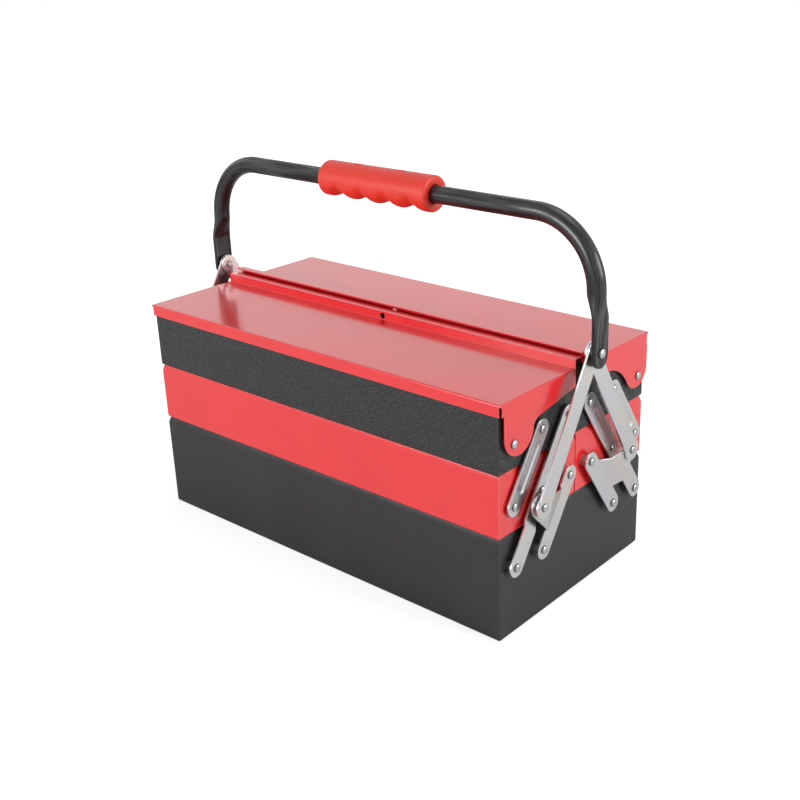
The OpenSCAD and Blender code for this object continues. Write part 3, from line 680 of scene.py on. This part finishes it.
def rivet_tree():
    """Rivets on the given points: each has a side, where it starts, shoulders and ends."""
    tree, given, out = new_group("Rivets on points", "GeometryNodeTree", {
        "Points": "Geometry", "Head Radius": 0.0035, "Head Height": 0.0018, "Head Rim": 0.0005,
        "Shank Radius": 0.0025, "Shoulder Radius": 0.005, "Clinch Radius": 0.004,
        "Clinch Height": 0.0012, "Facets": 32, "Material": "Material"}, {"Rivets": "Geometry"})

    def maths(operation, *values):
        return sums(tree, operation, *values)

    # The dome: a short line of points with a radius at each, nearly closed at its top
    steps, dome_turn = 9, math.radians(87)
    line = put(tree, "GeometryNodeMeshLine", {"Count": steps, "Offset": (0.001, 0, 0)})
    curve = put(tree, "GeometryNodeMeshToCurve", {0: line.outputs[0]}).outputs[0]
    index = put(tree, "GeometryNodeInputIndex").outputs[0]
    above_rim = maths("MAXIMUM", maths("SUBTRACT", index, 1.0), 0.0)
    turn = maths("MULTIPLY", above_rim, dome_turn / (steps - 2))
    dome_height = maths("SUBTRACT", given["Head Height"], given["Head Rim"])
    rim = maths("MULTIPLY", maths("MINIMUM", index, 1.0), given["Head Rim"])
    up = maths("ADD", rim, maths("MULTIPLY", maths("SINE", turn), dome_height))
    at = put(tree, "ShaderNodeCombineXYZ", {0: up}).outputs[0]
    curve = put(tree, "GeometryNodeSetPosition", {"Geometry": curve, "Position": at}).outputs[0]
    # A ramp from 1 at a head's foot to 0 at its top, stored as foot; the rivets' finish paints shade
    # with it
    foot = maths("SUBTRACT", 1.0, maths("DIVIDE", index, steps - 1.0))
    curve = put(tree, "GeometryNodeStoreNamedAttribute",
                {"Geometry": curve, "Name": "foot", "Value": foot}).outputs[0]
    ring = put(tree, "GeometryNodeCurvePrimitiveCircle",
               {"Resolution": given["Facets"], "Radius": 1.0}).outputs[0]
    width = maths("MULTIPLY", maths("COSINE", turn), given["Head Radius"])
    dome = put(tree, "GeometryNodeCurveToMesh", {
        "Curve": curve, "Profile Curve": ring, "Scale": width, "Fill Caps": True}).outputs[0]

    # A round pin one long and one in radius, standing out along x
    pin = put(tree, "GeometryNodeMeshCylinder",
              {"Vertices": given["Facets"], "Radius": 1.0, "Depth": 1.0}).outputs[0]
    pin = put(tree, "GeometryNodeTransform", {
        "Geometry": pin, "Translation": (0.5, 0, 0),
        "Rotation": (0, math.pi / 2, 0)}).outputs[0]

    def read(name):
        return put(tree, "GeometryNodeInputNamedAttribute", {"Name": name},
                   data_type="FLOAT").outputs[0]

    side = read("side")
    outwards = maths("MULTIPLY", maths("SUBTRACT", 1.0, side), math.pi / 2)
    inwards = maths("ADD", outwards, math.pi)

    def stand(shape, start, facing, wanted, length, radius):
        """The shape on every wanted point, at a distance out along x."""
        move = put(tree, "ShaderNodeCombineXYZ", {0: maths("MULTIPLY", side, start)})
        moved = put(tree, "GeometryNodeSetPosition",
                    {"Geometry": given["Points"], "Offset": move.outputs[0]}).outputs[0]
        turned = put(tree, "ShaderNodeCombineXYZ", {2: facing}).outputs[0]
        size = put(tree, "ShaderNodeCombineXYZ", {0: length, 1: radius, 2: radius}).outputs[0]
        return put(tree, "GeometryNodeInstanceOnPoints", {
            "Points": moved, "Selection": wanted, "Instance": shape,
            "Rotation": turned, "Scale": size}).outputs[0]

    start, head_at = read("start"), read("head_at")
    low = read("shoulder_from")
    shoulder = maths("SUBTRACT", read("shoulder_to"), low)
    shouldered = maths("GREATER_THAN", shoulder, HAIR)
    clinch_at = maths("ADD", start, given["Clinch Height"])
    parts = (
        stand(pin, start, outwards, True, maths("SUBTRACT", head_at, start),
              given["Shank Radius"]),
        stand(pin, low, outwards, shouldered, shoulder, given["Shoulder Radius"]),
        stand(dome, head_at, outwards, read("headed"), 1.0, 1.0),
        stand(dome, clinch_at, inwards, read("clinched"),
              maths("DIVIDE", given["Clinch Height"], given["Head Height"]),
              maths("DIVIDE", given["Clinch Radius"], given["Head Radius"])))
    joined = put(tree, "GeometryNodeJoinGeometry")
    for part in parts:
        tree.links.new(part, joined.inputs[0])
    whole = put(tree, "GeometryNodeRealizeInstances", {0: joined.outputs[0]}).outputs[0]
    whole = put(tree, "GeometryNodeSetMaterial",
                {"Geometry": whole, "Material": given["Material"]}).outputs[0]
    tree.links.new(whole, out["Rivets"])
    return tree


def carry_out(obj, tree, values):
    """Runs a geometry tree on the object with its inputs set by name, and keeps the plain mesh."""
    sockets = {s.name: s.identifier for s in tree.interface.items_tree
               if getattr(s, "in_out", "") == "INPUT"}
    modifier = obj.modifiers.new("Build", "NODES")
    modifier.node_group = tree
    for label, value in values.items():
        modifier[sockets[label]] = value
    settle(obj)
    if len(obj.data.polygons) == 0:
        raise RuntimeError(f"{obj.name} came out empty")


def rivet_points(name, rivets):
    """A point for each rivet at both ends of the box, which holds the rivet's measures."""
    both = [(rivet, side) for rivet in rivets for side in ENDS.values()]
    mesh = bpy.data.meshes.new(name)
    mesh.from_pydata([(0, rivet.half * rivet.pivot[0] * MM, rivet.pivot[1] * MM)
                      for rivet, _ in both], [], [])
    measures = {"side": [side for _, side in both]}
    for field in ("start", "shoulder_from", "shoulder_to", "head_at"):
        measures[field] = [getattr(rivet, field) * MM for rivet, _ in both]
    for field in ("headed", "clinched"):
        measures[field] = [getattr(rivet, field) for rivet, _ in both]
    for field, values in measures.items():
        layer = mesh.attributes.new(field, "FLOAT", "POINT")
        layer.data.foreach_set("value", [float(value) for value in values])
    return place_mesh(name, mesh)


def smooth_by_angle(obj):
    """Smooth shading, apart from the folds."""
    for polygon in obj.data.polygons:
        polygon.use_smooth = True
    obj.data.set_sharp_from_angle(angle=FOLD)


def wall_rivet(half, pivot, link_x, thickness=STRIP):
    """A rivet through a tray's end wall that carries a link at link_x."""
    return Rivet(half, pivot, start=WALL_X - SHEET - CLINCH, shoulder_from=WALL_X,
                 shoulder_to=link_x - PLAY, head_at=link_x + thickness + PLAY,
                 headed=True, clinched=True)


class TOOLBOX_OT_rivets(bpy.types.Operator):
    """Sets the rivets of every pivot, one mesh for each body"""
    bl_idname = "toolbox.rivets"
    bl_label = "Rivets"

    def execute(self, context):
        sizes = context.scene.toolbox_hardware
        plate = rivet_plate("Rivet plate", sizes.rivet)
        tree = rivet_tree()
        values = {"Head Radius": sizes.head_radius, "Head Height": sizes.head_height,
                  "Head Rim": sizes.head_rim, "Shank Radius": sizes.shank_radius,
                  "Shoulder Radius": sizes.shoulder_radius, "Clinch Radius": 0.004,
                  "Clinch Height": CLINCH * MM, "Facets": sizes.facets, "Material": plate}

        def rivet(name, rivets, *nodes, **changes):
            obj = rivet_points(name, rivets)
            carry_out(obj, tree, {**values, **changes})
            smooth_by_angle(obj)
            hold(obj, BODY_OF[nodes[0]], "rivet", *nodes)

        rivet("base_pivots",
              [wall_rivet(half, *place) for half in HALVES.values()
               for place in ((ARM_FOOT, ARM_X + STRIP), (CRANK_FOOT, CRANK_X))], "base_rivets")
        for name, half in HALVES.items():
            rivet(f"{name}_mid_pivots",
                  [wall_rivet(half, LINK_FOOT, ARM_X), wall_rivet(half, ARM_MID, ARM_X),
                   wall_rivet(half, CRANK_HEAD, CRANK_X)], f"{name}_mid_rivets")
            rivet(f"{name}_top_pivots",
                  [wall_rivet(half, LINK_HEAD, ARM_X), wall_rivet(half, ARM_HEAD, ARM_X),
                   wall_rivet(half, HINGE, LID_X, SHEET)],
                  f"{name}_top_rivets", f"{name}_hinge_rivets")
            rivet(f"{name}_ear_backs",
                  [Rivet(half, EAR, start=EAR_X - CLINCH, shoulder_from=EAR_X, shoulder_to=EAR_X,
                         head_at=EAR_X + STRIP, headed=False, clinched=True)],
                  f"{name}_ear_studs")
            link_x = FRONT_LINK_X if half < 0 else REAR_LINK_X
            spacer = [f"{name}_link_spacers"] if half < 0 else []
            rivet(f"{name}_ear_heads",
                  [Rivet(half, EAR, start=REAR_LINK_X, shoulder_from=REAR_LINK_X,
                         shoulder_to=link_x, head_at=link_x + STRIP,
                         headed=True, clinched=False)],
                  f"{name}_link_rivets", *spacer, **{"Shoulder Radius": sizes.washer_radius})
        rivet("handle_pivots",
              [Rivet(1, HANDLE_PIVOT, start=REAR_LINK_X - PLAY - HANDLE_CLINCH,
                     shoulder_from=FRONT_LINK_X + STRIP + PLAY, shoulder_to=COLLAR_X,
                     head_at=HANDLE_HEAD_X, headed=True, clinched=True)],
              "handle_rivets",
              **{"Head Radius": 0.004, "Head Height": 0.0022, "Shank Radius": 0.003,
                 "Clinch Radius": 0.0035, "Clinch Height": HANDLE_CLINCH * MM})
        return {"FINISHED"}


# ---------- Handle ----------


def bent_tube_tree():
    """A round tube along a line, its corners bent and its lower ends pressed flat."""
    tree, given, out = new_group("Bent tube", "GeometryNodeTree", {
        "Line": "Geometry", "Leg X": 0.2144, "Tube Radius": 0.0075, "Bend Radius": 0.055,
        "Spacing": 0.0008, "Facets": 32, "Round Height": 0.212, "Flat Top": 0.239,
        "Round From": 0.262, "Flat Width": 0.0205, "Flat Thickness": 0.0036,
        "Flat Shift": 0.004, "Material": "Material"}, {"Tube": "Geometry"})

    def maths(operation, *values):
        return sums(tree, operation, *values)

    # How soon the round sides reach the flat faces, and the points on each bend
    face_gain, bend_points = 2.2, 48
    curve = put(tree, "GeometryNodeMeshToCurve", {0: given["Line"]}).outputs[0]
    fillet = put(tree, "GeometryNodeFilletCurve",
                 {"Curve": curve, "Count": bend_points, "Radius": given["Bend Radius"]},
                 mode="POLY").outputs[0]
    even = put(tree, "GeometryNodeResampleCurve",
               {"Curve": fillet, "Length": given["Spacing"]}, mode="LENGTH").outputs[0]
    along = put(tree, "GeometryNodeSplineParameter").outputs["Length"]
    even = put(tree, "GeometryNodeStoreNamedAttribute",
               {"Geometry": even, "Name": "along", "Value": along}).outputs[0]
    ring = put(tree, "GeometryNodeCurvePrimitiveCircle",
               {"Resolution": given["Facets"], "Radius": given["Tube Radius"]}).outputs[0]
    facing = put(tree, "ShaderNodeVectorMath", {
        0: put(tree, "GeometryNodeInputPosition").outputs[0]}, operation="NORMALIZE").outputs[0]
    ring = put(tree, "GeometryNodeStoreNamedAttribute",
               {"Geometry": ring, "Name": "round", "Value": facing},
               data_type="FLOAT_VECTOR").outputs[0]
    tube = put(tree, "GeometryNodeCurveToMesh",
               {"Curve": even, "Profile Curve": ring, "Fill Caps": True}).outputs[0]

    place = put(tree, "GeometryNodeInputPosition").outputs[0]
    x, y, z = put(tree, "ShaderNodeSeparateXYZ", {0: place}).outputs
    # Below where it is round, the tube goes over into a flat bar with a round lower end
    pressed = between(tree, z, given["Round From"], given["Flat Top"], smooth=True)
    kept = maths("SUBTRACT", 1.0, pressed)
    out_x = maths("ABSOLUTE", x)
    across = maths("DIVIDE", maths("SUBTRACT", out_x, given["Leg X"]), given["Tube Radius"])
    faced = maths("MINIMUM", maths("MAXIMUM", maths("MULTIPLY", across, face_gain), -1.0), 1.0)
    flat_x = maths("ADD", maths("ADD", given["Leg X"], given["Flat Shift"]),
                   maths("MULTIPLY", faced, maths("MULTIPLY", given["Flat Thickness"], 0.5)))
    broad = maths("MULTIPLY", given["Flat Width"], 0.5)
    below = maths("DIVIDE", maths("MAXIMUM", maths("SUBTRACT", given["Round Height"], z), 0.0),
                  broad)
    round_end = maths("SQRT", maths("MAXIMUM", maths(
        "SUBTRACT", 1.0, maths("MULTIPLY", below, below)), 0.0))
    flat_y = maths("MULTIPLY", maths("MULTIPLY", maths("DIVIDE", y, given["Tube Radius"]), broad),
                   round_end)
    new_x = maths("ADD", maths("MULTIPLY", out_x, kept), maths("MULTIPLY", flat_x, pressed))
    new_y = maths("ADD", maths("MULTIPLY", y, kept), maths("MULTIPLY", flat_y, pressed))
    new_x = maths("MULTIPLY", new_x, maths("SIGN", x))
    moved = put(tree, "ShaderNodeCombineXYZ", {0: new_x, 1: new_y, 2: z}).outputs[0]
    low = maths("LESS_THAN", z, given["Round From"])
    tube = put(tree, "GeometryNodeSetPosition",
               {"Geometry": tube, "Selection": low, "Position": moved}).outputs[0]
    tube = put(tree, "GeometryNodeRealizeInstances", {0: tube}).outputs[0]
    tube = put(tree, "GeometryNodeSetMaterial",
               {"Geometry": tube, "Material": given["Material"]}).outputs[0]
    tree.links.new(tube, out["Tube"])
    return tree


class TOOLBOX_OT_handle_bar(bpy.types.Operator):
    """Bends the handle's tube and presses its ends flat"""
    bl_idname = "toolbox.handle_bar"
    bl_label = "Handle bar"

    def execute(self, context):
        sizes = context.scene.toolbox_handle
        round_z = HANDLE_PIVOT[1] * MM - sizes.flat_drop
        foot = round_z - sizes.flat_width / 2 + HAIR
        line = bpy.data.meshes.new("handle_bar")
        line.from_pydata(
            [(-sizes.leg_x, 0, foot), (-sizes.leg_x, 0, sizes.bar_z),
             (sizes.leg_x, 0, sizes.bar_z), (sizes.leg_x, 0, foot)],
            [(0, 1), (1, 2), (2, 3)], [])
        bar = place_mesh("handle_bar", line)
        carry_out(bar, bent_tube_tree(), {
            "Leg X": sizes.leg_x, "Tube Radius": sizes.tube_radius,
            "Bend Radius": sizes.bend_radius, "Round Height": round_z,
            "Flat Top": sizes.flat_top, "Round From": sizes.round_from,
            "Flat Width": sizes.flat_width, "Flat Thickness": sizes.flat_thickness,
            "Flat Shift": sizes.flat_shift,
            "Material": tube_enamel("Handle black", sizes.black)})
        smooth_by_angle(bar)
        hold(bar, BODY_OF["handle_tube"], "handle_enamel", "handle_tube")
        return {"FINISHED"}


# The finger hollows: how many, how far apart, and how far up the grip's sides they reach
HOLLOWS, HOLLOW_PITCH, HOLLOW_SPREAD = 4, 0.027, math.radians(102)
# The moulded marks on the grip: places along it, place round it, depth, half length, half angle
MARKS, MARK_TURN, MARK_DEPTH = (-0.0245, 0.0255), math.radians(91), 0.0017
MARK_REACH, MARK_SPREAD = 0.0042, 0.28


def grip_reach(x, angle, sizes):
    """How far the grip's skin is from the bar's middle line, at x along it and an angle round."""
    half, radius, end_r = sizes.grip_length / 2, sizes.grip_radius, sizes.grip_end_radius
    into_end = max(0.0, abs(x) - (half - end_r))
    reach = radius - end_r + math.sqrt(max(0.0, end_r ** 2 - into_end ** 2))
    off = min(abs(x / HOLLOW_PITCH - finger + (HOLLOWS - 1) / 2) for finger in range(HOLLOWS))
    from_below = abs((angle + math.pi / 2 + math.pi) % (2 * math.pi) - math.pi)
    # Up the sides the hollows fade, narrow and go from a sharp bottom to a round one
    least_width = 0.01
    fade = max(0.0, 1 - (from_below / HOLLOW_SPREAD) ** 2)
    off = min(0.5, off / max(math.sqrt(fade), least_width))
    sharp = 1 - math.sin(math.pi * off)
    soft = 0.5 + 0.5 * math.cos(2 * math.pi * off)
    return reach - sizes.hollow_depth * fade ** 2 * (fade * sharp + (1 - fade) * soft)


def grip_dimples(x, angle):
    """Depth of the two moulded marks on top of the grip."""
    depth = 0.0
    for centre in MARKS:
        across = math.hypot((x - centre) / MARK_REACH, (angle - MARK_TURN) / MARK_SPREAD)
        depth += MARK_DEPTH * max(0.0, 1 - across ** 4)
    return depth


class TOOLBOX_OT_grip(bpy.types.Operator):
    """Moulds the grip round the handle's bar"""
    bl_idname = "toolbox.grip"
    bl_label = "Grip"

    def execute(self, context):
        sizes = context.scene.toolbox_handle
        half = sizes.grip_length / 2
        bore, chamfer = sizes.tube_radius + HAIR, 0.0008
        # The rings lie closer together towards the ends, as far as crowding says
        rings, facets, crowding = 220, 96, 0.35
        stations = [half * math.sin(math.pi * (r / rings - 0.5)) * crowding
                    + half * (2 * r / rings - 1) * (1 - crowding) for r in range(rings + 1)]
        mesh = bmesh.new()
        loops = []
        for x in stations:
            loops.append([])
            for f in range(facets):
                angle = 2 * math.pi * f / facets
                reach = grip_reach(x, angle, sizes) - grip_dimples(x, angle)
                loops[-1].append(mesh.verts.new((
                    x + sizes.grip_shift, reach * math.cos(angle),
                    sizes.bar_z + reach * math.sin(angle))))
        for x, reach in ((half, bore + chamfer), (half - chamfer, bore),
                         (-half + chamfer, bore), (-half, bore + chamfer)):
            loops.append([mesh.verts.new((
                x + sizes.grip_shift, reach * math.cos(2 * math.pi * f / facets),
                sizes.bar_z + reach * math.sin(2 * math.pi * f / facets)))
                for f in range(facets)])
        for here, there in zip(loops, loops[1:] + loops[:1]):
            for f in range(facets):
                g = (f + 1) % facets
                mesh.faces.new((here[f], there[f], there[g], here[g]))
        bmesh.ops.recalc_face_normals(mesh, faces=mesh.faces)
        data = bpy.data.meshes.new("grip")
        mesh.to_mesh(data)
        mesh.free()
        data.materials.append(moulded_plastic("Grip plastic", sizes.grip))
        grip = place_mesh("grip", data)
        smooth_by_angle(grip)
        hold(grip, BODY_OF["handle_grip"], "grip", "handle_grip")
        return {"FINISHED"}


# ---------- Studio ----------

LIT_POINT = (0, 0, 0.12)
FLOOR_REACH = 6.0

# The camera: its place, its turn about the box, height angle and tilt in degrees, the width of
# its square picture, and its focal length and the middle of its view, in pixels
CAMERA_AT = (0.665577, -0.703329, 0.519067)
CAMERA_TURN = (39.7166, 21.56, -1.1589)
PICTURE, FOCAL_LENGTH, VIEW_MIDDLE = 800, 1161.156, (461.236, 382.375)


def floor_material(colour):
    """A pale floor that keeps the box's shadow and runs out to white."""
    material, tree, into = start_finish("Studio floor", Roughness=0.9, Specular_IOR_Level=0.0)
    into["Base Color"].default_value = rgba(colour)
    # How bright the floor is in reflections, and the distances between which it turns white
    in_mirrors, pale_to, white_from = 0.1, 0.4, 1.4
    path = put(tree, "ShaderNodeLightPath").outputs
    mirrored = sums(tree, "MULTIPLY", sums(tree, "MAXIMUM", path["Is Glossy Ray"],
                                           path["Is Transmission Ray"]), in_mirrors)
    seen = sums(tree, "MAXIMUM", path["Is Camera Ray"], mirrored)
    into["Emission Color"].default_value = (1, 1, 1, 1)
    place = object_place(tree)
    away = put(tree, "ShaderNodeVectorMath", {0: place}, operation="LENGTH").outputs["Value"]
    lift = between(tree, away, pale_to, white_from, 0.6, 1.0, smooth=True)
    tree.links.new(sums(tree, "MULTIPLY", seen, lift), into["Emission Strength"])
    return material


def world_light(strength):
    """White to look at, and a plain soft light from all round."""
    world = bpy.data.worlds.new("Studio")
    world.use_nodes = True
    tree = world.node_tree
    path = put(tree, "ShaderNodeLightPath").outputs
    seen = sums(tree, "MAXIMUM", path["Is Camera Ray"], path["Is Glossy Ray"])
    seen = sums(tree, "MAXIMUM", seen, path["Is Transmission Ray"])
    shown = between(tree, seen, 0, 1, strength, 1.0)
    background = tree.nodes["Background"]
    background.inputs["Color"].default_value = (1, 1, 1, 1)
    tree.links.new(shown, background.inputs["Strength"])
    return world


def area_light(name, power, size, at):
    """A rectangular lamp that faces the box."""
    data = bpy.data.lights.new(name, "AREA")
    data.energy = power
    data.shape = "RECTANGLE"
    data.size, data.size_y = size
    lamp = bpy.data.objects.new(name, data)
    bpy.context.scene.collection.objects.link(lamp)
    lamp.location = at
    lamp.rotation_euler = (Vector(LIT_POINT) - Vector(at)).to_track_quat("-Z", "Y").to_euler()


def studio_camera():
    """The camera, from its place, its angles and its lens."""
    azimuth, elevation, roll = (math.radians(a) for a in CAMERA_TURN)
    back = Vector((math.sin(azimuth) * math.cos(elevation),
                   -math.cos(azimuth) * math.cos(elevation), math.sin(elevation)))
    level = Vector((0, 0, 1)).cross(back).normalized()
    upright = back.cross(level)
    across = math.cos(roll) * level + math.sin(roll) * upright
    up = -math.sin(roll) * level + math.cos(roll) * upright
    turn = Matrix((across, up, back)).transposed().to_4x4()
    data = bpy.data.cameras.new("Camera")
    data.lens = data.sensor_width * FOCAL_LENGTH / PICTURE
    data.shift_x = (PICTURE / 2 - VIEW_MIDDLE[0]) / PICTURE
    data.shift_y = (VIEW_MIDDLE[1] - PICTURE / 2) / PICTURE
    camera = bpy.data.objects.new("Camera", data)
    camera.matrix_world = Matrix.Translation(CAMERA_AT) @ turn
    bpy.context.scene.collection.objects.link(camera)
    return camera


class TOOLBOX_OT_studio(bpy.types.Operator):
    """Sets the floor, the lights and the camera"""
    bl_idname = "toolbox.studio"
    bl_label = "Studio"

    def execute(self, context):
        settings = context.scene.toolbox_studio
        scene = context.scene
        mesh = bpy.data.meshes.new("studio_floor")
        corners = ((-1, -1), (1, -1), (1, 1), (-1, 1))
        mesh.from_pydata([(x * FLOOR_REACH, y * FLOOR_REACH, 0) for x, y in corners],
                         [], [(0, 1, 2, 3)])
        mesh.materials.append(floor_material(settings.floor))
        place_mesh("studio_floor", mesh)
        scene.world = world_light(settings.room)
        area_light("Key", settings.key, size=(2.0, 0.9), at=(-0.5, -2.35, 0.75))
        area_light("Top", settings.top, size=(1.4, 1.2), at=(0.3, 0.4, 2.3))
        area_light("Side", settings.side, size=(1.2, 0.9), at=(2.1, 0.75, 0.85))
        scene.camera = studio_camera()
        scene.view_settings.view_transform = "Standard"
        return {"FINISHED"}


# ---------- Add-on ----------


OPERATORS = (
    TOOLBOX_OT_base,
    TOOLBOX_OT_mid_trays,
    TOOLBOX_OT_top_trays,
    TOOLBOX_OT_lids,
    TOOLBOX_OT_links,
    TOOLBOX_OT_rivets,
    TOOLBOX_OT_handle_bar,
    TOOLBOX_OT_grip,
    TOOLBOX_OT_studio,
)

SETTINGS = {
    "toolbox_enamel": EnamelSettings,
    "toolbox_hardware": HardwareSettings,
    "toolbox_handle": HandleSettings,
    "toolbox_studio": StudioSettings,
}


class TOOLBOX_PT_panel(bpy.types.Panel):
    """The tool box's settings and steps"""
    bl_idname = "TOOLBOX_PT_panel"
    bl_label = "Tool box"
    bl_space_type = "VIEW_3D"
    bl_region_type = "UI"
    bl_category = "Tool box"

    def draw(self, context):
        for name, group in SETTINGS.items():
            box = self.layout.box()
            for field in group.__annotations__:
                box.prop(getattr(context.scene, name), field)
        for operator in OPERATORS:
            self.layout.operator(operator.bl_idname)


def register():
    for group in SETTINGS.values():
        bpy.utils.register_class(group)
    for name, group in SETTINGS.items():
        setattr(bpy.types.Scene, name, bpy.props.PointerProperty(type=group))
    for operator in OPERATORS:
        bpy.utils.register_class(operator)
    bpy.utils.register_class(TOOLBOX_PT_panel)


def unregister():
    bpy.utils.unregister_class(TOOLBOX_PT_panel)
    for operator in reversed(OPERATORS):
        bpy.utils.unregister_class(operator)
    for name, group in SETTINGS.items():
        delattr(bpy.types.Scene, name)
        bpy.utils.unregister_class(group)


def main():
    register()
    steps = bpy.ops.toolbox
    steps.base()
    steps.mid_trays()
    steps.top_trays()
    steps.lids()
    steps.links()
    steps.rivets()
    steps.handle_bar()
    steps.grip()
    steps.studio()


if __name__ == "__main__":
    main()
